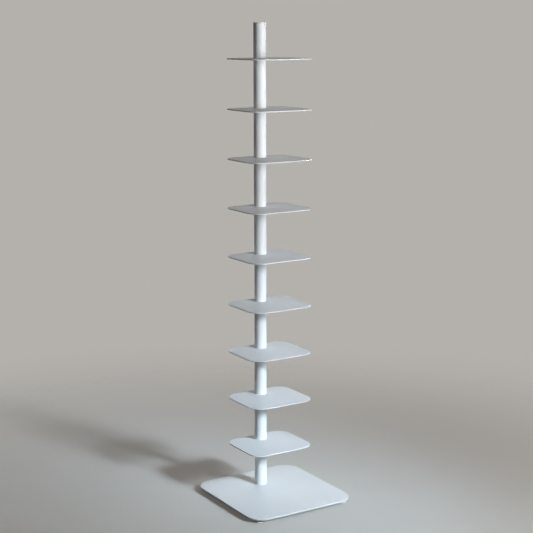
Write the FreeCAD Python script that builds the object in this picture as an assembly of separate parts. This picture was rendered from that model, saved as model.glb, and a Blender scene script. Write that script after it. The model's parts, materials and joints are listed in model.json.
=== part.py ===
import FreeCAD, Part
import math
import os

# A spine bookshelf: thin steel plates carried one above the other by a single round pole that
# stands on a heavy base plate. The pole is a stack of short tubes. Each plate is clamped between
# two tubes, whose ends are closed by plugs, and one tie rod inside the pole pulls the whole stack
# down on to a foot plug that is screwed to the base. Four swivel levelling feet carry the base.
# Millimetres. The origin is on the floor under the centre of the base, +Z is up, -Y is the front.

# Book plates
SHELF_COUNT = 9
SHELF_WIDTH = 230.0
SHELF_DEPTH = 200.0
SHELF_THICKNESS = 3.0
SHELF_CORNER_R = 44.0
SHELF_EDGE_R = 0.6
SHELF_BEHIND = 43.0     # a plate's rear edge, behind the pole's axis
BOOK_SPACE = 155.0      # clear height under each plate, which is a tube's length

# Base plate
BASE_WIDTH = 385.0
BASE_DEPTH = 395.0
BASE_THICKNESS = 6.0
BASE_CORNER_R = 58.0
BASE_EDGE_R = 1.0
POLE_INSET = 115.5      # the pole's axis, in front of the base's rear edge

# Pole
POLE_OD = 40.0
POLE_WALL = 2.0
TOP_TUBE_LENGTH = 109.0
TUBE_CHAMFER = 0.3      # round the outside of each tube's ends
PLUG_THICKNESS = 12.0
PLUG_GAP = 0.05         # between a plug's rim and the tube's bore, round it
CAP_THICKNESS = 2.0
CAP_EDGE_R = 0.6
CAP_SPIGOT_LENGTH = 6.0
CAP_SPIGOT_WALL = 3.0

# Tie rod with its nut and washer, M10
ROD_DIAMETER = 10.0
ROD_HOLE_GAP = 0.3      # round the rod, in plugs, plates and washer
ROD_GRIP = 20.0         # thread held by the foot plug
ROD_STICKOUT = 3.0      # rod above its nut
NUT_ACROSS_FLATS = 17.0
NUT_HEIGHT = 8.0
WASHER_DIAMETER = 21.0
WASHER_THICKNESS = 2.0
CAP_AIR = 3.0           # between the rod's top and the cap

# Foot plug and the countersunk M6 screws that hold it to the base
FOOT_PLUG_HEIGHT = 28.0
BASE_SCREW_COUNT = 4
BASE_SCREW_DIAMETER = 6.0
BASE_SCREW_LENGTH = 20.0
BASE_SCREW_HEAD = 12.0
BASE_SCREW_RECESS = 0.3
BASE_SCREW_SOCKET = 4.0
BASE_SCREW_SOCKET_DEPTH = 2.0
BASE_SCREW_HOLE_GAP = 0.3
SEAT_GAP = 0.05         # between a screw's head and its seat
DRILL_RUNOUT = 2.0      # a blind hole beyond the end of what it holds

# Locating pins, which key each plate to the tubes above and below it
PIN_DIAMETER = 5.0
PIN_DEPTH = 8.0         # in each plug
PIN_GAP = 0.05
PIN_END_GAP = 0.5

# Levelling feet: M8 screws with a hexagon collar, which swivel in round pads
FOOT_INSET = 33.0       # a foot's axis from the two nearest edges of the base
FOOT_SCREW_DIAMETER = 8.0
FOOT_HOLE_GAP = 0.3     # round a foot screw, in the base's blind hole
THREAD_GAP = 0.1        # round every thread
COLLAR_ACROSS_FLATS = 13.0
COLLAR_HEIGHT = 2.5
SCREW_TIP_CHAMFER = 0.8
TIP_GAP = 0.5           # between a foot screw's tip and the blind hole's end
BLIND_SKIN = 1.8        # base plate left over a foot's blind hole
HOME_GAP = 0.35         # between the collar and the boss with the foot screwed home
BOSS_DIAMETER = 20.0
BOSS_HEIGHT = 5.5
PAD_DIAMETER = 30.0
PAD_FLOOR = 1.0
PAD_LIP = 1.2
PAD_TOP_R = 0.8
PAD_BOTTOM_CHAMFER = 0.4
SWIVEL_HEAD_DIAMETER = 8.0
SWIVEL_HEAD_HEIGHT = 1.0
SWIVEL_NECK_DIAMETER = 6.0
SWIVEL_GAP = 0.1        # round the swivel's head and neck
SWIVEL_END_GAP = 0.15   # above and below the swivel's head, and under the collar

FILLET_SHARE = 0.3      # the most of a wall's thickness that an edge's fillet or chamfer takes
HEX_SIDES = 6
TOLERANCE = 0.001       # two lengths nearer than this are the same

# Places and radii worked out from the sizes above
POLE_Y = BASE_DEPTH / 2 - POLE_INSET
SHELF_Y = POLE_Y + SHELF_BEHIND - SHELF_DEPTH / 2
POLE_R = POLE_OD / 2
BORE_R = POLE_R - POLE_WALL
PLUG_R = BORE_R - PLUG_GAP
ROD_R = ROD_DIAMETER / 2
ROD_HOLE_R = ROD_R + ROD_HOLE_GAP
WEB_R = (ROD_HOLE_R + PLUG_R) / 2       # middle of a plug's web, for pins and screws
PIN_HOLE_R = PIN_DIAMETER / 2 + PIN_GAP
BASE_SCREW_R = BASE_SCREW_DIAMETER / 2
BASE_SCREW_HEAD_R = BASE_SCREW_HEAD / 2
HEAD_HEIGHT = BASE_SCREW_HEAD_R - BASE_SCREW_R      # a 90 degree countersink
FOOT_SCREW_R = FOOT_SCREW_DIAMETER / 2
FOOT_THREAD_R = FOOT_SCREW_R + THREAD_GAP
SWIVEL_HEAD_R = SWIVEL_HEAD_DIAMETER / 2
SWIVEL_NECK_R = SWIVEL_NECK_DIAMETER / 2

# Levels, from the floor up
CHAMBER_TOP = PAD_FLOOR + SWIVEL_HEAD_HEIGHT + 2 * SWIVEL_END_GAP
PAD_TOP = CHAMBER_TOP + PAD_LIP
COLLAR_BOTTOM = PAD_TOP + SWIVEL_END_GAP
COLLAR_TOP = COLLAR_BOTTOM + COLLAR_HEIGHT
BOSS_BOTTOM = COLLAR_TOP + HOME_GAP
BASE_BOTTOM = BOSS_BOTTOM + BOSS_HEIGHT
BASE_TOP = BASE_BOTTOM + BASE_THICKNESS
HEAD_FACE = BASE_BOTTOM + BASE_SCREW_RECESS
SCREW_END = HEAD_FACE + BASE_SCREW_LENGTH
BLIND_TOP = BASE_TOP - BLIND_SKIN
SHELF_PITCH = BOOK_SPACE + SHELF_THICKNESS
TOP_SHELF = BASE_TOP + SHELF_COUNT * SHELF_PITCH
TUBE_END = TOP_SHELF + TOP_TUBE_LENGTH
ROD_TOP = TUBE_END - CAP_AIR
NUT_TOP = ROD_TOP - ROD_STICKOUT
NUT_BOTTOM = NUT_TOP - NUT_HEIGHT
WASHER_BOTTOM = NUT_BOTTOM - WASHER_THICKNESS
FOOT_PLUG_TOP = BASE_TOP + FOOT_PLUG_HEIGHT
ROD_BOTTOM = FOOT_PLUG_TOP - ROD_GRIP

FOOT_X = BASE_WIDTH / 2 - FOOT_INSET
FOOT_Y = BASE_DEPTH / 2 - FOOT_INSET
FEET = {
    "front_left": (-FOOT_X, -FOOT_Y),
    "front_right": (FOOT_X, -FOOT_Y),
    "back_left": (-FOOT_X, FOOT_Y),
    "back_right": (FOOT_X, FOOT_Y),
}
POLE_AXIS = (0.0, POLE_Y)
PIN_AXIS = (0.0, POLE_Y + WEB_R)


def shelf_top(number):
    """Level of a plate's upper face; number 0 is the base plate."""
    return BASE_TOP + number * SHELF_PITCH


def shelf_bottom(number):
    return shelf_top(number) - SHELF_THICKNESS


def cylinder(radius, bottom, top, axis=POLE_AXIS):
    return Part.makeCylinder(radius, top - bottom, FreeCAD.Vector(*axis, bottom))


def hexagon(across_flats, bottom, top, axis=POLE_AXIS):
    """A hexagonal prism on a vertical axis."""
    radius = across_flats / 2 / math.cos(math.pi / HEX_SIDES)
    corners = []
    for step in range(HEX_SIDES + 1):
        angle = 2 * math.pi * step / HEX_SIDES
        x = axis[0] + radius * math.cos(angle)
        y = axis[1] + radius * math.sin(angle)
        corners.append(FreeCAD.Vector(x, y, bottom))
    face = Part.Face(Part.makePolygon(corners))
    return face.extrude(FreeCAD.Vector(0, 0, top - bottom))


def level_edges(shape):
    """Edges that lie in one level."""
    return [edge for edge in shape.Edges if edge.BoundBox.ZLength < TOLERANCE]


def edges_at(shape, level, radius):
    """Circles of one radius at one level."""
    found = []
    for edge in level_edges(shape):
        round_edge = isinstance(edge.Curve, Part.Circle)
        if round_edge and abs(edge.BoundBox.ZMin - level) < TOLERANCE:
            if abs(edge.Curve.Radius - radius) < TOLERANCE:
                found.append(edge)
    return found


def rounded_plate(width, depth, corner_r, edge_r, centre_y, bottom, top):
    """A level plate with rounded corners and softened edges."""
    thickness = top - bottom
    corner = FreeCAD.Vector(-width / 2, centre_y - depth / 2, bottom)
    slab = Part.makeBox(width, depth, thickness, corner)
    upright = [edge for edge in slab.Edges if edge.BoundBox.ZLength > thickness / 2]
    slab = slab.makeFillet(corner_r, upright)
    return slab.makeFillet(min(edge_r, FILLET_SHARE * thickness), level_edges(slab))


def screw_ring():
    """Axes of the base screws, evenly round the tie rod."""
    axes = []
    for step in range(BASE_SCREW_COUNT):
        angle = 2 * math.pi * (step + 0.5) / BASE_SCREW_COUNT
        axes.append((WEB_R * math.cos(angle), POLE_Y + WEB_R * math.sin(angle)))
    return axes


def countersunk_hole(axis):
    """The space that one base screw takes in the base plate."""
    base = FreeCAD.Vector(*axis, HEAD_FACE)
    seat = Part.makeCone(BASE_SCREW_HEAD_R + SEAT_GAP, BASE_SCREW_R + SEAT_GAP, HEAD_HEIGHT, base)
    mouth = cylinder(BASE_SCREW_HEAD_R + SEAT_GAP, BASE_BOTTOM, HEAD_FACE, axis)
    shank = cylinder(BASE_SCREW_R + BASE_SCREW_HOLE_GAP, BASE_BOTTOM, BASE_TOP, axis)
    return [mouth, seat, shank]


def base_plate():
    plate = rounded_plate(
        BASE_WIDTH, BASE_DEPTH, BASE_CORNER_R, BASE_EDGE_R, 0.0, BASE_BOTTOM, BASE_TOP
    )
    cuts = []
    for axis in screw_ring():
        cuts += countersunk_hole(axis)
    for axis in FEET.values():
        cuts.append(cylinder(FOOT_SCREW_R + FOOT_HOLE_GAP, BASE_BOTTOM, BLIND_TOP, axis))
    return plate.cut(cuts)


def base_screw(axis):
    head_base = FreeCAD.Vector(*axis, HEAD_FACE)
    head = Part.makeCone(BASE_SCREW_HEAD_R, BASE_SCREW_R, HEAD_HEIGHT, head_base)
    shank = cylinder(BASE_SCREW_R, HEAD_FACE, SCREW_END, axis)
    socket_top = HEAD_FACE + BASE_SCREW_SOCKET_DEPTH
    return head.fuse(shank).cut(hexagon(BASE_SCREW_SOCKET, HEAD_FACE, socket_top, axis))


def foot_plug():
    """Solid plug in the lowest tube, tapped for the base screws and the tie rod."""
    plug = cylinder(PLUG_R, BASE_TOP, FOOT_PLUG_TOP)
    cuts = [cylinder(ROD_R + THREAD_GAP, ROD_BOTTOM - DRILL_RUNOUT, FOOT_PLUG_TOP)]
    for axis in screw_ring():
        hole_end = SCREW_END + DRILL_RUNOUT
        cuts.append(cylinder(BASE_SCREW_R + THREAD_GAP, BASE_TOP, hole_end, axis))
    return plug.cut(cuts)


def pole_tube(bottom, top):
    tube = cylinder(POLE_R, bottom, top)
    ends = edges_at(tube, bottom, POLE_R) + edges_at(tube, top, POLE_R)
    tube = tube.makeChamfer(min(TUBE_CHAMFER, FILLET_SHARE * POLE_WALL), ends)
    return tube.cut(cylinder(BORE_R, bottom, top))


def pin_hole(number):
    """The hole for one plate's locating pin, through the plate and into both plugs."""
    deep = PIN_DEPTH + PIN_END_GAP
    return cylinder(PIN_HOLE_R, shelf_bottom(number) - deep, shelf_top(number) + deep, PIN_AXIS)


def locating_pin(number):
    bottom = shelf_bottom(number) - PIN_DEPTH
    return cylinder(PIN_DIAMETER / 2, bottom, shelf_top(number) + PIN_DEPTH, PIN_AXIS)


def shelf_plate(number):
    bottom = shelf_bottom(number)
    top = shelf_top(number)
    plate = rounded_plate(
        SHELF_WIDTH, SHELF_DEPTH, SHELF_CORNER_R, SHELF_EDGE_R, SHELF_Y, bottom, top
    )
    return plate.cut([cylinder(ROD_HOLE_R, bottom, top), pin_hole(number)])


def tube_plug(number, bottom):
    """A plug flush with a tube's end, beside plate number."""
    top = bottom + PLUG_THICKNESS
    plug = cylinder(PLUG_R, bottom, top)
    return plug.cut([cylinder(ROD_HOLE_R, bottom, top), pin_hole(number)])


def clamp_plug():
    """The plug that the tie rod's nut pulls on, below the pole's top."""
    bottom = WASHER_BOTTOM - PLUG_THICKNESS
    plug = cylinder(PLUG_R, bottom, WASHER_BOTTOM)
    return plug.cut(cylinder(ROD_HOLE_R, bottom, WASHER_BOTTOM))


def clamp_washer():
    washer = cylinder(WASHER_DIAMETER / 2, WASHER_BOTTOM, NUT_BOTTOM)
    return washer.cut(cylinder(ROD_HOLE_R, WASHER_BOTTOM, NUT_BOTTOM))


def clamp_nut():
    nut = hexagon(NUT_ACROSS_FLATS, NUT_BOTTOM, NUT_TOP)
    return nut.cut(cylinder(ROD_R + THREAD_GAP, NUT_BOTTOM, NUT_TOP))


def top_cap():
    """Flush round cap, with a ring spigot that fits the top tube."""
    cap_top = TUBE_END + CAP_THICKNESS
    disc = cylinder(POLE_R, TUBE_END, cap_top)
    rim = edges_at(disc, cap_top, POLE_R)
    disc = disc.makeFillet(min(CAP_EDGE_R, FILLET_SHARE * CAP_THICKNESS), rim)
    spigot_bottom = TUBE_END - CAP_SPIGOT_LENGTH
    spigot = cylinder(PLUG_R, spigot_bottom, TUBE_END)
    hollow = cylinder(PLUG_R - CAP_SPIGOT_WALL, spigot_bottom, TUBE_END)
    return disc.fuse(spigot.cut(hollow))


def foot_boss(axis):
    """Threaded boss welded under the base plate."""
    boss = cylinder(BOSS_DIAMETER / 2, BOSS_BOTTOM, BASE_BOTTOM, axis)
    return boss.cut(cylinder(FOOT_THREAD_R, BOSS_BOTTOM, BASE_BOTTOM, axis))


def levelling_screw(axis):
    """Foot screw: swivel head and neck, hexagon collar, and threaded stud."""
    head_bottom = PAD_FLOOR + SWIVEL_END_GAP
    head_top = head_bottom + SWIVEL_HEAD_HEIGHT
    tip = BLIND_TOP - TIP_GAP
    head = cylinder(SWIVEL_HEAD_R, head_bottom, head_top, axis)
    neck = cylinder(SWIVEL_NECK_R, head_top, COLLAR_BOTTOM, axis)
    collar = hexagon(COLLAR_ACROSS_FLATS, COLLAR_BOTTOM, COLLAR_TOP, axis)
    stud = cylinder(FOOT_SCREW_R, COLLAR_TOP, tip, axis)
    stud = stud.makeChamfer(SCREW_TIP_CHAMFER, edges_at(stud, tip, FOOT_SCREW_R))
    return head.fuse([neck, collar, stud]).removeSplitter()


def levelling_pad(axis):
    """Round moulded pad that holds the swivel's head captive."""
    pad_r = PAD_DIAMETER / 2
    disc = cylinder(pad_r, 0.0, PAD_TOP, axis)
    disc = disc.makeFillet(PAD_TOP_R, edges_at(disc, PAD_TOP, pad_r))
    disc = disc.makeChamfer(PAD_BOTTOM_CHAMFER, edges_at(disc, 0.0, pad_r))
    chamber = cylinder(SWIVEL_HEAD_R + SWIVEL_GAP, PAD_FLOOR, CHAMBER_TOP, axis)
    mouth = cylinder(SWIVEL_NECK_R + SWIVEL_GAP, CHAMBER_TOP, PAD_TOP, axis)
    return disc.cut([chamber, mouth])


def base_nodes():
    nodes = {"base_plate": base_plate(), "foot_plug": foot_plug()}
    nodes["base_screws"] = Part.Compound([base_screw(axis) for axis in screw_ring()])
    nodes["foot_bosses"] = Part.Compound([foot_boss(axis) for axis in FEET.values()])
    for place, axis in FEET.items():
        nodes[f"levelling_screw_{place}"] = levelling_screw(axis)
        nodes[f"levelling_pad_{place}"] = levelling_pad(axis)
    return nodes


def stack_nodes():
    """The pole's tubes with the plates and plugs between them, from the bottom up."""
    nodes = {}
    for number in range(1, SHELF_COUNT + 1):
        under = shelf_bottom(number)
        over = shelf_top(number)
        nodes[f"pole_tube_{number}"] = pole_tube(shelf_top(number - 1), under)
        nodes[f"plug_under_shelf_{number}"] = tube_plug(number, under - PLUG_THICKNESS)
        nodes[f"shelf_plate_{number}"] = shelf_plate(number)
        nodes[f"plug_over_shelf_{number}"] = tube_plug(number, over)
    nodes[f"pole_tube_{SHELF_COUNT + 1}"] = pole_tube(TOP_SHELF, TUBE_END)
    pins = [locating_pin(number) for number in range(1, SHELF_COUNT + 1)]
    nodes["locating_pins"] = Part.Compound(pins)
    return nodes


def clamp_nodes():
    return {
        "tie_rod": cylinder(ROD_R, ROD_BOTTOM, ROD_TOP),
        "clamp_plug": clamp_plug(),
        "clamp_washer": clamp_washer(),
        "clamp_nut": clamp_nut(),
        "top_cap": top_cap(),
    }


def main():
    os.makedirs("parts", exist_ok=True)
    nodes = {**base_nodes(), **stack_nodes(), **clamp_nodes()}
    for name, shape in nodes.items():
        shape.exportStep(f"parts/{name}.step")
        print(f"{name}: {len(shape.Solids)} solid(s), {shape.Volume / 1000:.2f} cm3")


main()
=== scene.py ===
import bmesh
import bpy
import json
import math
from mathutils import Matrix, Vector

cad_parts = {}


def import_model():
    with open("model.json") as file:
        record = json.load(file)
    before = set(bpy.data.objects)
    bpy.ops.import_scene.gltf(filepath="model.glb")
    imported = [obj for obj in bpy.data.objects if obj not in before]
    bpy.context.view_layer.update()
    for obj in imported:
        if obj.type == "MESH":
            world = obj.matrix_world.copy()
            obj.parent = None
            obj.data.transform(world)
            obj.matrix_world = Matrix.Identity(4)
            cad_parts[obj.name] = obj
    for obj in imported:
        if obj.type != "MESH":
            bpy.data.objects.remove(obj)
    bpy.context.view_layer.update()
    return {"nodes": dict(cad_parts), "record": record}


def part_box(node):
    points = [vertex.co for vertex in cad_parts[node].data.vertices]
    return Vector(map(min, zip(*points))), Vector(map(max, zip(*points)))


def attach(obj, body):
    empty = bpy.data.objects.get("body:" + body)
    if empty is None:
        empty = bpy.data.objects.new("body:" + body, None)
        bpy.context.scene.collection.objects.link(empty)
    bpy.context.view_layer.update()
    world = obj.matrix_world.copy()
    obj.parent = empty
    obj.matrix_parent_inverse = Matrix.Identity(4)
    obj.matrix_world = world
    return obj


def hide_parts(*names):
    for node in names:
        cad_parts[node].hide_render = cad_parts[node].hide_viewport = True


# The looks of the spine bookshelf, in metres, in the CAD frame: +Z up, -Y the front. The plates,
# tubes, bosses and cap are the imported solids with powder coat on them. The levelling feet and the
# base screws are finer meshes in the places of their nodes, and the welds round the bosses are
# added here.

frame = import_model()

MM = 0.001
PLACES = ("front_left", "front_right", "back_left", "back_right")

# Record slots
COAT = "white_powder_coat"
ZINC = "zinc_plated_steel"
NYLON = "pad_nylon"

# Camera: it looks at the pole from the front left, just above the top plate
CAMERA_DISTANCE = 4.0654                # level distance from the pole's axis
CAMERA_HEIGHT = 1.5473
CAMERA_HEADING = math.radians(31.62)    # of the way to the pole, from +Y towards +X
CAMERA_AIM = math.radians(0.291)        # to the right of the pole
CAMERA_PITCH = math.radians(10.89)      # down
CAMERA_ROLL = math.radians(0.103)
CAMERA_LENS = 85.30                     # in millimetres, as the sensor's width
CAMERA_SENSOR = 36.0
CAMERA_CLIP_END = 100.0

# Light. A lamp's heading is the way from the pole to it, in degrees from +Y towards +X, and it
# is aimed at the pole's axis at the height aim; spread is in degrees and power in watts. The five
# keys stand within a few degrees of each other at the front right, so that the pole has one
# shadow. The last three of them reach mainly what their names say.
LAMPS = {
    "key": {
        "heading": 163.0, "distance": 3.4, "height": 1.84, "aim": 1.0, "size": (0.3, 0.6),
        "spread": 180.0, "power": 48.0, "colour": (1.0, 0.99, 0.97),
    },
    "level_key": {
        "heading": 163.0, "distance": 3.4, "height": 1.2, "aim": 1.0, "size": (0.4, 1.0),
        "spread": 180.0, "power": 9.0, "colour": (0.97, 1.0, 0.97),
    },
    "top_key": {
        "heading": 160.0, "distance": 2.6, "height": 1.2, "aim": 1.42, "size": (0.3, 0.5),
        "spread": 38.0, "power": 1.55, "colour": (0.89, 0.93, 1.0),
    },
    "shelf_key": {
        "heading": 163.0, "distance": 5.0, "height": 2.85, "aim": 0.2, "size": (0.5, 0.5),
        "spread": 20.0, "power": 1.35, "colour": (0.74, 0.82, 0.93),
    },
    "base_key": {
        "heading": 163.0, "distance": 2.4, "height": 1.35, "aim": 0.1, "size": (0.4, 0.4),
        "spread": 36.0, "power": 1.7, "colour": (0.57, 0.81, 1.0),
    },
    "back_wash": {
        "heading": 55.0, "distance": 2.8, "height": 1.1, "aim": 0.8, "size": (2.4, 1.6),
        "spread": 180.0, "power": 15.0, "colour": (1.0, 0.97, 0.93),
    },
    "back_low": {
        "heading": 25.0, "distance": 3.0, "height": 0.12, "aim": 0.9, "size": (2.4, 0.2),
        "spread": 180.0, "power": 31.0, "colour": (1.0, 0.99, 0.97),
    },
}
AMBIENT_COLOUR = (1.0, 0.98, 0.95)
AMBIENT = 0.07

# Floor and backdrop
BACKDROP_COLOUR = (0.455, 0.440, 0.415)
FLOOR_COLOUR = (0.63, 0.61, 0.58)
FLOOR_GLOW = (0.078, 0.074, 0.068)      # only where the floor is seen directly
FLOOR_BOUNCE = (0.16, 0.155, 0.15)      # the floor's colour for the light that it sends on
FLOOR_ROUGHNESS = 0.9
FLOOR_SPECULAR = 0.1
FLOOR_RADIUS = 12.0
FLOOR_STEPS = 96
FLOOR_FADE = (0.5, 2.3)                 # distances over which it turns into the backdrop

# Materials. A scale is a noise's features per metre, a pair of colours or of roughnesses is what
# the noise varies between, and a relief is the height of its bumps. A window is the part of the
# noise's values, from 0 to 1, over which the change goes from end to end.
WINDOW = (0.3, 0.7)
MOTTLE_WINDOW = (0.35, 0.65)

# Powder coat
COAT_TONES = ((0.835, 0.850, 0.866), (0.862, 0.874, 0.886))
COAT_BLOTCH_SCALE = 7.0
COAT_SPECKLE_SCALE = 1400.0
COAT_SPECKLE_WINDOW = (0.30, 0.45)
COAT_SPECKLE_SHADES = (0.94, 1.0)       # the coat's brightness in a speckle and beside it
COAT_SPECKLE_RELIEF = 0.02 * MM
COAT_PEEL_SCALE = 420.0
COAT_PEEL_RELIEF = 0.03 * MM
COAT_ROUGHNESS = (0.46, 0.56)
COAT_ROUGHNESS_SCALE = 60.0
COAT_IOR = 1.5

# Zinc plating
ZINC_TONES = ((0.56, 0.575, 0.60), (0.68, 0.68, 0.67))
ZINC_MOTTLE_SCALE = 500.0
ZINC_STREAK_SCALE = 900.0
ZINC_STREAK_STRETCH = (1.0, 1.0, 6.0)
ZINC_STREAK_RELIEF = 0.01 * MM
ZINC_ROUGHNESS = (0.26, 0.42)

# Nylon
NYLON_TONES = ((0.78, 0.78, 0.75), (0.84, 0.84, 0.82))
NYLON_MOTTLE_SCALE = 180.0
NYLON_ROUGHNESS = (0.42, 0.56)
NYLON_ROUGHNESS_SCALE = 700.0
NYLON_GRAIN_SCALE = 2200.0
NYLON_GRAIN_RELIEF = 0.02 * MM

# The colour sockets of a mix node, which has others of the same names
MIX_FIRST, MIX_SECOND, MIX_RESULT = 6, 7, 2

# Levelling foot: swivel screw in a moulded pad
HEAD_R = 4.0 * MM
HEAD_HEIGHT = 1.0 * MM
HEAD_LIFT = 1.15 * MM           # the screw's head above the floor
HEAD_CHAMFER = 0.2 * MM
NECK_R = 3.0 * MM
COLLAR_ACROSS_FLATS = 13.0 * MM
COLLAR_HEIGHT = 2.5 * MM
COLLAR_CHAMFER_ANGLE = math.radians(30)
COLLAR_CHAMFER_START = 0.97     # of half the width across flats
THREAD_R = 4.0 * MM
THREAD_PITCH = 1.25 * MM
THREAD_DEPTH = 0.767 * MM
THREAD_FLANK_START = 1 / 16     # of the pitch, from the middle of the crest
THREAD_FLANK_END = 3 / 8
THREAD_ROWS = 14                # rows of points per turn of thread
TIP_CHAMFER = 0.8 * MM
SCREW_STEPS = 48
PAD_RIBS = 30
PAD_STEPS = 5 * PAD_RIBS
PAD_RIB_DEPTH = 0.3 * MM
PAD_RIB_ROUNDNESS = 0.5         # the power of the cosine between two ribs
PAD_RIB_RUN_OUT = 0.25 * MM     # over which the ribs begin and end
PAD_CHAMFER = 0.4 * MM
PAD_CHAMFER_BREAK = 0.05 * MM
PAD_ROUND = 0.8 * MM
PAD_ROUND_STEPS = 5
PAD_DISH_R = 5.6 * MM           # the hollow in the middle of the sole
PAD_DISH_DEPTH = 0.4 * MM
SOLE_GROOVE_R = (8.6 * MM, 10.3 * MM)
SOLE_GROOVE_DEPTH = 0.35 * MM
TOP_GROOVE_INSET = (4.6 * MM, 6.6 * MM)     # from the pad's rim
TOP_GROOVE_DEPTH = 0.3 * MM
GROOVE_SLOPE = 0.3 * MM         # the width of each groove's sloping sides
PAD_MOUTH_R = 3.1 * MM
PAD_MOUTH_CHAMFER = 0.2 * MM
PAD_CHAMBER_R = 4.1 * MM
PAD_CHAMBER_FLOOR = 1.0 * MM
PAD_LIP = 1.2 * MM

# Base screws, M6 countersunk with a hexagon socket
CSK_HEAD_R = 6.0 * MM
CSK_SHANK_R = 3.0 * MM
CSK_LAND = 0.35 * MM
CSK_SOCKET = 4.0 * MM
CSK_SOCKET_DEPTH = 2.0 * MM
CSK_SOCKET_CONE = 0.7 * MM
CSK_SOCKET_MOUTH = 1.25         # the mouth's radius, of half the socket's width across flats
CSK_SOCKET_MOUTH_DEPTH = 0.25 * MM
CSK_EDGE_CHAMFER = 0.15 * MM
CSK_TIP_CHAMFER = 0.5 * MM

# Weld round each foot boss
BOSS_R = 10.0 * MM
WELD_R = 1.5 * MM
WELD_STAND_OFF = 0.2 * MM       # of the bead's middle, from the boss and from the base plate
WELD_RIPPLES = 34
WELD_RIPPLE = 0.09              # of the bead's radius
WELD_STEPS = 6 * WELD_RIPPLES
WELD_SECTION = 14               # points round the bead

SHARP_ANGLE = math.radians(35)  # edges sharper than this are shaded as edges


# ---------------------------------------------------------------- meshes


def ring(radius, level, steps):
    """Points round the z axis; radius and level are numbers or functions of the angle."""
    points = []
    for step in range(steps):
        angle = 2 * math.pi * step / steps
        r = radius(angle) if callable(radius) else radius
        z = level(angle) if callable(level) else level
        points.append(Vector((r * math.cos(angle), r * math.sin(angle), z)))
    return points


def closed_rings(bm, rings, low_centre, high_centre):
    """A closed skin over rings of points, with a fan at each end."""
    steps = len(rings[0])
    loops = [[bm.verts.new(point) for point in points] for points in rings]
    for below, above in zip(loops, loops[1:]):
        for i in range(steps):
            j = (i + 1) % steps
            bm.faces.new((below[i], below[j], above[j], above[i]))
    low = bm.verts.new((0.0, 0.0, low_centre))
    high = bm.verts.new((0.0, 0.0, high_centre))
    for i in range(steps):
        j = (i + 1) % steps
        bm.faces.new((low, loops[0][j], loops[0][i]))
        bm.faces.new((high, loops[-1][i], loops[-1][j]))


def finished(name, bm, material):
    """The piece made from bm, smooth but for its sharp edges."""
    bmesh.ops.recalc_face_normals(bm, faces=bm.faces)
    mesh = bpy.data.meshes.new(name)
    bm.to_mesh(mesh)
    bm.free()
    mesh.materials.append(material)
    mesh.shade_smooth()
    mesh.set_sharp_from_angle(angle=SHARP_ANGLE)
    piece = bpy.data.objects.new(name, mesh)
    bpy.context.scene.collection.objects.link(piece)
    return piece


def hexagon_radius(across_flats):
    """The outline of a hexagon as a function of the angle."""
    side = math.pi / 3

    def radius(angle):
        return across_flats / 2 / math.cos((angle + side / 2) % side - side / 2)

    return radius


# ---------------------------------------------------------------- materials


class Nodes:
    """A material's node tree, with short calls for the nodes used here."""

    def __init__(self, name):
        self.material = bpy.data.materials.new(name)
        self.material.use_nodes = True
        self.tree = self.material.node_tree
        self.shader = self.tree.nodes["Principled BSDF"]
        self.output = self.tree.nodes["Material Output"]
        self.place = self.add("ShaderNodeTexCoord").outputs["Object"]

    def add(self, kind, **settings):
        """A new node with these settings."""
        node = self.tree.nodes.new(kind)
        for key, value in settings.items():
            setattr(node, key, value)
        return node

    def feed(self, socket, value):
        """A link where value is another node's output, and a constant otherwise."""
        if isinstance(value, bpy.types.NodeSocket):
            self.tree.links.new(value, socket)
        else:
            socket.default_value = value

    def noise(self, scale, detail=2.0, stretch=None):
        """Noise from 0 to 1; scale is its features per metre."""
        node = self.add("ShaderNodeTexNoise")
        place = self.place
        if stretch:
            mapping = self.add("ShaderNodeMapping")
            mapping.inputs["Scale"].default_value = stretch
            self.feed(mapping.inputs["Vector"], self.place)
            place = mapping.outputs["Vector"]
        self.feed(node.inputs["Vector"], place)
        node.inputs["Scale"].default_value = scale
        node.inputs["Detail"].default_value = detail
        return node.outputs["Fac"]

    def maths(self, operation, first, second):
        """The result of one operation on two values."""
        node = self.add("ShaderNodeMath", operation=operation)
        self.feed(node.inputs[0], first)
        self.feed(node.inputs[1], second)
        return node.outputs[0]

    def ramp(self, value, window, ends=(0.0, 1.0)):
        """From one end to the other as value goes through the window, clamped."""
        node = self.add("ShaderNodeMapRange")
        self.feed(node.inputs["Value"], value)
        node.inputs["From Min"].default_value, node.inputs["From Max"].default_value = window
        node.inputs["To Min"].default_value, node.inputs["To Max"].default_value = ends
        return node.outputs["Result"]

    def mix(self, share, first, second, **settings):
        """A colour between two colours, or what settings says of them."""
        node = self.add("ShaderNodeMix", data_type="RGBA", **settings)
        self.feed(node.inputs[0], share)
        for index, colour in ((MIX_FIRST, first), (MIX_SECOND, second)):
            known = isinstance(colour, bpy.types.NodeSocket)
            self.feed(node.inputs[index], colour if known else (*colour, 1.0))
        return node.outputs[MIX_RESULT]

    def bump(self, height, distance, onto=None):
        """A normal from height, over the normal onto where there is one."""
        node = self.add("ShaderNodeBump")
        node.inputs["Distance"].default_value = distance
        self.feed(node.inputs["Height"], height)
        if onto is not None:
            self.feed(node.inputs["Normal"], onto)
        return node.outputs["Normal"]


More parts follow.
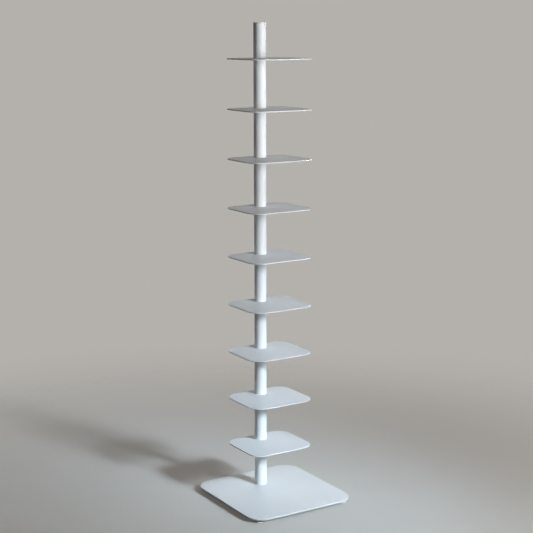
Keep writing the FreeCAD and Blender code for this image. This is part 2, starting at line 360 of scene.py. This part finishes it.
def powder_coat():
    """Fine-textured matt white powder coat on steel."""
    n = Nodes("white_powder_coat")
    blotches = n.noise(COAT_BLOTCH_SCALE, detail=3.0)
    speckle = n.noise(COAT_SPECKLE_SCALE)
    tone = n.mix(n.ramp(blotches, MOTTLE_WINDOW), *COAT_TONES)
    dark = n.ramp(speckle, COAT_SPECKLE_WINDOW, COAT_SPECKLE_SHADES)
    n.feed(n.shader.inputs["Base Color"], n.mix(1.0, tone, dark, blend_type="MULTIPLY"))
    rough = n.ramp(n.noise(COAT_ROUGHNESS_SCALE), WINDOW, COAT_ROUGHNESS)
    n.feed(n.shader.inputs["Roughness"], rough)
    peel = n.bump(n.noise(COAT_PEEL_SCALE, detail=1.0), COAT_PEEL_RELIEF)
    n.feed(n.shader.inputs["Normal"], n.bump(speckle, COAT_SPECKLE_RELIEF, onto=peel))
    n.shader.inputs["IOR"].default_value = COAT_IOR
    return n.material


def zinc_plate():
    """Bright zinc plating: brushed, slightly mottled steel."""
    n = Nodes("zinc_plated_steel")
    mottle = n.ramp(n.noise(ZINC_MOTTLE_SCALE, detail=3.0), MOTTLE_WINDOW)
    n.feed(n.shader.inputs["Base Color"], n.mix(mottle, *ZINC_TONES))
    n.shader.inputs["Metallic"].default_value = 1.0
    streaks = n.noise(ZINC_STREAK_SCALE, stretch=ZINC_STREAK_STRETCH)
    n.feed(n.shader.inputs["Roughness"], n.ramp(streaks, WINDOW, ZINC_ROUGHNESS))
    n.feed(n.shader.inputs["Normal"], n.bump(streaks, ZINC_STREAK_RELIEF))
    return n.material


def nylon():
    """Natural off-white nylon, faintly mottled, with a moulded grain."""
    n = Nodes("pad_nylon")
    mottle = n.ramp(n.noise(NYLON_MOTTLE_SCALE), WINDOW)
    n.feed(n.shader.inputs["Base Color"], n.mix(mottle, *NYLON_TONES))
    rough = n.ramp(n.noise(NYLON_ROUGHNESS_SCALE), WINDOW, NYLON_ROUGHNESS)
    n.feed(n.shader.inputs["Roughness"], rough)
    n.feed(n.shader.inputs["Normal"], n.bump(n.noise(NYLON_GRAIN_SCALE), NYLON_GRAIN_RELIEF))
    return n.material


# ---------------------------------------------------------------- pieces


def thread_radius(angle, level):
    """An M8 thread's radius, with flat crests and roots; right-handed."""
    phase = (level / THREAD_PITCH - angle / (2 * math.pi)) % 1.0
    off_crest = abs(phase - 0.5)
    flank = (off_crest - THREAD_FLANK_START) / (THREAD_FLANK_END - THREAD_FLANK_START)
    return THREAD_R - THREAD_DEPTH * min(1.0, max(0.0, flank))


def levelling_screw(place, material):
    """A levelling screw: swivel head, neck, hexagon collar and M8 thread."""
    low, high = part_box(f"levelling_screw_{place}")
    centre = (low + high) / 2
    hexagon = hexagon_radius(COLLAR_ACROSS_FLATS)
    chamfer_r = COLLAR_ACROSS_FLATS / 2 * COLLAR_CHAMFER_START
    slope = math.tan(COLLAR_CHAMFER_ANGLE)
    head_top = HEAD_LIFT + HEAD_HEIGHT
    tip = high.z
    pad_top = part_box(f"levelling_pad_{place}")[1].z
    collar_low = pad_top + (HEAD_LIFT - PAD_CHAMBER_FLOOR)
    collar_high = collar_low + COLLAR_HEIGHT

    def drop(angle):
        return (hexagon(angle) - chamfer_r) * slope

    outline = [
        (HEAD_R - HEAD_CHAMFER, HEAD_LIFT),
        (HEAD_R, HEAD_LIFT + HEAD_CHAMFER),
        (HEAD_R, head_top - HEAD_CHAMFER),
        (HEAD_R - HEAD_CHAMFER, head_top),
        (NECK_R, head_top),
        (NECK_R, collar_low),
        (chamfer_r, collar_low),
        (hexagon, lambda angle: collar_low + drop(angle)),
        (hexagon, lambda angle: collar_high - drop(angle)),
        (chamfer_r, collar_high),
        (THREAD_R + HEAD_CHAMFER, collar_high),
    ]
    rings = [ring(radius, level, SCREW_STEPS) for radius, level in outline]
    rows = round((tip - collar_high) / THREAD_PITCH * THREAD_ROWS)
    for row in range(rows + 1):
        level = collar_high + (tip - collar_high) * row / rows
        most = THREAD_R - max(0.0, level - (tip - TIP_CHAMFER))
        rings.append(ring(lambda a: min(most, thread_radius(a, level)), level, SCREW_STEPS))
    bm = bmesh.new()
    closed_rings(bm, rings, HEAD_LIFT, tip)
    bm.transform(Matrix.Translation((centre.x, centre.y, 0.0)))
    piece = finished(f"threaded_foot_screw_{place}", bm, material)
    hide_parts(f"levelling_screw_{place}")
    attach(piece, f"screw_{place}")


def levelling_pad(place, material):
    """A moulded pad, ribbed round its rim, with a chamber for the screw's head."""
    low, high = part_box(f"levelling_pad_{place}")
    centre = (low + high) / 2
    pad_r = (high.x - low.x) / 2
    top = high.z
    chamber_top = top - PAD_LIP

    def ribbed(angle):
        wave = math.cos(PAD_RIBS * angle)
        return pad_r - PAD_RIB_DEPTH * max(0.0, -wave) ** PAD_RIB_ROUNDNESS

    inner, outer = SOLE_GROOVE_R
    outline = [
        (PAD_DISH_R - PAD_DISH_DEPTH, PAD_DISH_DEPTH),
        (PAD_DISH_R, 0.0),
        (inner, 0.0),
        (inner + GROOVE_SLOPE, SOLE_GROOVE_DEPTH),
        (outer - GROOVE_SLOPE, SOLE_GROOVE_DEPTH),
        (outer, 0.0),
        (pad_r - PAD_CHAMFER, 0.0),
        (pad_r - PAD_RIB_DEPTH, PAD_CHAMFER - PAD_CHAMFER_BREAK),
        (ribbed, PAD_CHAMFER + PAD_RIB_RUN_OUT),
        (ribbed, top - PAD_ROUND - PAD_RIB_RUN_OUT),
    ]
    rim = pad_r - PAD_RIB_DEPTH - PAD_ROUND
    for step in range(PAD_ROUND_STEPS + 1):
        turn = math.pi / 2 * step / PAD_ROUND_STEPS
        outline.append((rim + PAD_ROUND * math.cos(turn), top - PAD_ROUND * (1 - math.sin(turn))))
    outer, inner = (pad_r - inset for inset in TOP_GROOVE_INSET)
    outline += [
        (outer, top),
        (outer - GROOVE_SLOPE, top - TOP_GROOVE_DEPTH),
        (inner + GROOVE_SLOPE, top - TOP_GROOVE_DEPTH),
        (inner, top),
        (PAD_MOUTH_R + PAD_MOUTH_CHAMFER, top),
        (PAD_MOUTH_R, top - PAD_MOUTH_CHAMFER),
        (PAD_MOUTH_R, chamber_top),
        (PAD_CHAMBER_R, chamber_top),
        (PAD_CHAMBER_R, PAD_CHAMBER_FLOOR),
    ]
    rings = [ring(radius, level, PAD_STEPS) for radius, level in outline]
    bm = bmesh.new()
    closed_rings(bm, rings, PAD_DISH_DEPTH, PAD_CHAMBER_FLOOR)
    bm.transform(Matrix.Translation((centre.x, centre.y, 0.0)))
    piece = finished(f"moulded_foot_pad_{place}", bm, material)
    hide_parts(f"levelling_pad_{place}")
    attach(piece, f"pad_{place}")


def base_screws(material):
    """The four countersunk screws, joined in one piece."""
    low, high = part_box("base_screws")
    centre = (low + high) / 2
    reach = (high.x - low.x) / 2 - CSK_HEAD_R
    face, end = low.z, high.z
    socket = hexagon_radius(CSK_SOCKET)
    outline = [
        (socket, face + CSK_SOCKET_DEPTH),
        (socket, face + CSK_SOCKET_MOUTH_DEPTH),
        (CSK_SOCKET / 2 * CSK_SOCKET_MOUTH, face),
        (CSK_HEAD_R - CSK_EDGE_CHAMFER, face),
        (CSK_HEAD_R, face + CSK_EDGE_CHAMFER),
        (CSK_HEAD_R, face + CSK_LAND),
        (CSK_SHANK_R, face + CSK_LAND + CSK_HEAD_R - CSK_SHANK_R),
        (CSK_SHANK_R, end - CSK_TIP_CHAMFER),
        (CSK_SHANK_R - CSK_TIP_CHAMFER, end),
    ]
    rings = [ring(radius, level, SCREW_STEPS) for radius, level in outline]
    bm = bmesh.new()
    for x in (-reach, reach):
        for y in (-reach, reach):
            one = bmesh.new()
            closed_rings(one, rings, face + CSK_SOCKET_DEPTH + CSK_SOCKET_CONE, end)
            one.transform(Matrix.Translation((centre.x + x, centre.y + y, 0.0)))
            part = bpy.data.meshes.new("one_base_screw")
            one.to_mesh(part)
            one.free()
            bm.from_mesh(part)
            bpy.data.meshes.remove(part)
    piece = finished("socket_base_screws", bm, material)
    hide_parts("base_screws")
    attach(piece, "bookshelf")


def boss_welds(material):
    """A rippled weld bead between each foot boss and the base plate."""
    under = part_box("foot_bosses")[1].z
    for place in PLACES:
        low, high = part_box(f"levelling_pad_{place}")
        centre = (low + high) / 2
        bm = bmesh.new()
        loops = []
        for step in range(WELD_STEPS):
            angle = 2 * math.pi * step / WELD_STEPS
            ripple = abs(math.sin(WELD_RIPPLES * angle / 2))
            tube_r = WELD_R * (1 - WELD_RIPPLE + WELD_RIPPLE * ripple)
            loop = []
            for part in range(WELD_SECTION):
                turn = 2 * math.pi * part / WELD_SECTION
                r = BOSS_R + WELD_STAND_OFF + tube_r * math.cos(turn)
                z = under - WELD_STAND_OFF + tube_r * math.sin(turn)
                x = centre.x + r * math.cos(angle)
                y = centre.y + r * math.sin(angle)
                loop.append(bm.verts.new((x, y, z)))
            loops.append(loop)
        for i in range(WELD_STEPS):
            a, b = loops[i], loops[(i + 1) % WELD_STEPS]
            for j in range(WELD_SECTION):
                k = (j + 1) % WELD_SECTION
                bm.faces.new((a[j], b[j], b[k], a[k]))
        piece = finished(f"boss_weld_{place}", bm, material)
        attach(piece, "bookshelf")


# ---------------------------------------------------------------- stage


def pole_axis():
    """The foot of the pole's axis."""
    low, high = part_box("pole_tube_1")
    return Vector(((low.x + high.x) / 2, (low.y + high.y) / 2, 0.0))


def camera():
    """The camera, at the photo's place."""
    data = bpy.data.cameras.new("camera")
    data.sensor_width = CAMERA_SENSOR
    data.lens = CAMERA_LENS
    data.clip_end = CAMERA_CLIP_END
    holder = bpy.data.objects.new("camera", data)
    way = Vector((math.sin(CAMERA_HEADING), math.cos(CAMERA_HEADING), 0.0))
    holder.location = pole_axis() - CAMERA_DISTANCE * way + Vector((0.0, 0.0, CAMERA_HEIGHT))
    turn = Matrix.Rotation(-(CAMERA_HEADING + CAMERA_AIM), 4, "Z")
    tilt = Matrix.Rotation(math.pi / 2 - CAMERA_PITCH, 4, "X")
    roll = Matrix.Rotation(-CAMERA_ROLL, 4, "Z")
    holder.rotation_euler = (turn @ tilt @ roll).to_euler()
    bpy.context.scene.collection.objects.link(holder)
    bpy.context.scene.camera = holder


def softbox(name, heading, distance, height, aim, size, spread, power, colour):
    """A rectangular lamp that the camera can't see."""
    data = bpy.data.lights.new(name, "AREA")
    data.shape = "RECTANGLE"
    data.size, data.size_y = size
    data.spread = math.radians(spread)
    data.energy = power
    data.color = colour
    lamp = bpy.data.objects.new(name, data)
    turn = math.radians(heading)
    way = Vector((math.sin(turn), math.cos(turn), 0.0))
    lamp.location = pole_axis() + distance * way + Vector((0.0, 0.0, height))
    target = pole_axis() + Vector((0.0, 0.0, aim))
    lamp.rotation_euler = (target - lamp.location).to_track_quat("-Z", "Y").to_euler()
    lamp.visible_camera = False
    bpy.context.scene.collection.objects.link(lamp)


def seen_directly(tree):
    """1 for camera, glossy and transmission rays, 0 for the rest."""
    path = tree.nodes.new("ShaderNodeLightPath")
    total = path.outputs["Is Camera Ray"]
    for name in ("Is Glossy Ray", "Is Transmission Ray"):
        either = tree.nodes.new("ShaderNodeMath")
        either.operation = "MAXIMUM"
        tree.links.new(total, either.inputs[0])
        tree.links.new(path.outputs[name], either.inputs[1])
        total = either.outputs[0]
    return total


def world():
    """A weak even ambient light, behind a plain backdrop for the camera."""
    sky = bpy.data.worlds.new("studio")
    sky.use_nodes = True
    tree = sky.node_tree
    tree.nodes.clear()
    ambient = tree.nodes.new("ShaderNodeBackground")
    ambient.inputs["Color"].default_value = (*AMBIENT_COLOUR, 1.0)
    ambient.inputs["Strength"].default_value = AMBIENT
    backdrop = tree.nodes.new("ShaderNodeBackground")
    backdrop.inputs["Color"].default_value = (*BACKDROP_COLOUR, 1.0)
    choose = tree.nodes.new("ShaderNodeMixShader")
    tree.links.new(seen_directly(tree), choose.inputs[0])
    tree.links.new(ambient.outputs[0], choose.inputs[1])
    tree.links.new(backdrop.outputs[0], choose.inputs[2])
    output = tree.nodes.new("ShaderNodeOutputWorld")
    tree.links.new(choose.outputs[0], output.inputs["Surface"])
    bpy.context.scene.world = sky


def floor():
    """A pale floor that keeps the object's shadow and fades into the backdrop."""
    bm = bmesh.new()
    bmesh.ops.create_circle(bm, cap_ends=True, segments=FLOOR_STEPS, radius=FLOOR_RADIUS)
    mesh = bpy.data.meshes.new("floor")
    bm.to_mesh(mesh)
    bm.free()
    plane = bpy.data.objects.new("floor", mesh)
    bpy.context.scene.collection.objects.link(plane)
    n = Nodes("floor")
    n.shader.inputs["Roughness"].default_value = FLOOR_ROUGHNESS
    n.shader.inputs["Specular IOR Level"].default_value = FLOOR_SPECULAR
    direct = seen_directly(n.tree)
    n.feed(n.shader.inputs["Base Color"], n.mix(direct, FLOOR_BOUNCE, FLOOR_COLOUR))
    n.shader.inputs["Emission Color"].default_value = (*FLOOR_GLOW, 1.0)
    n.feed(n.shader.inputs["Emission Strength"], direct)
    away = n.add("ShaderNodeVectorMath", operation="LENGTH")
    n.feed(away.inputs[0], n.place)
    fade = n.ramp(away.outputs["Value"], FLOOR_FADE)
    fade.node.interpolation_type = "SMOOTHSTEP"
    clear = n.add("ShaderNodeBsdfTransparent")
    choose = n.add("ShaderNodeMixShader")
    n.feed(choose.inputs[0], n.maths("MULTIPLY", fade, direct))
    n.feed(choose.inputs[1], n.shader.outputs[0])
    n.feed(choose.inputs[2], clear.outputs[0])
    n.feed(n.output.inputs["Surface"], choose.outputs[0])
    mesh.materials.append(n.material)


def main():
    """Finishes on every node, the finer pieces, and the stage with its camera and lamps."""
    finishes = {COAT: powder_coat(), ZINC: zinc_plate(), NYLON: nylon()}
    for row in frame["record"]["subparts"]:
        mesh = frame["nodes"][row["node"]].data
        mesh.materials.clear()
        mesh.materials.append(finishes[row["material_slot"]])
    for place in PLACES:
        levelling_screw(place, finishes[ZINC])
        levelling_pad(place, finishes[NYLON])
    base_screws(finishes[ZINC])
    boss_welds(finishes[COAT])
    camera()
    for name, facts in LAMPS.items():
        softbox(name, **facts)
    world()
    floor()
    bpy.context.scene.view_settings.view_transform = "Standard"


main()
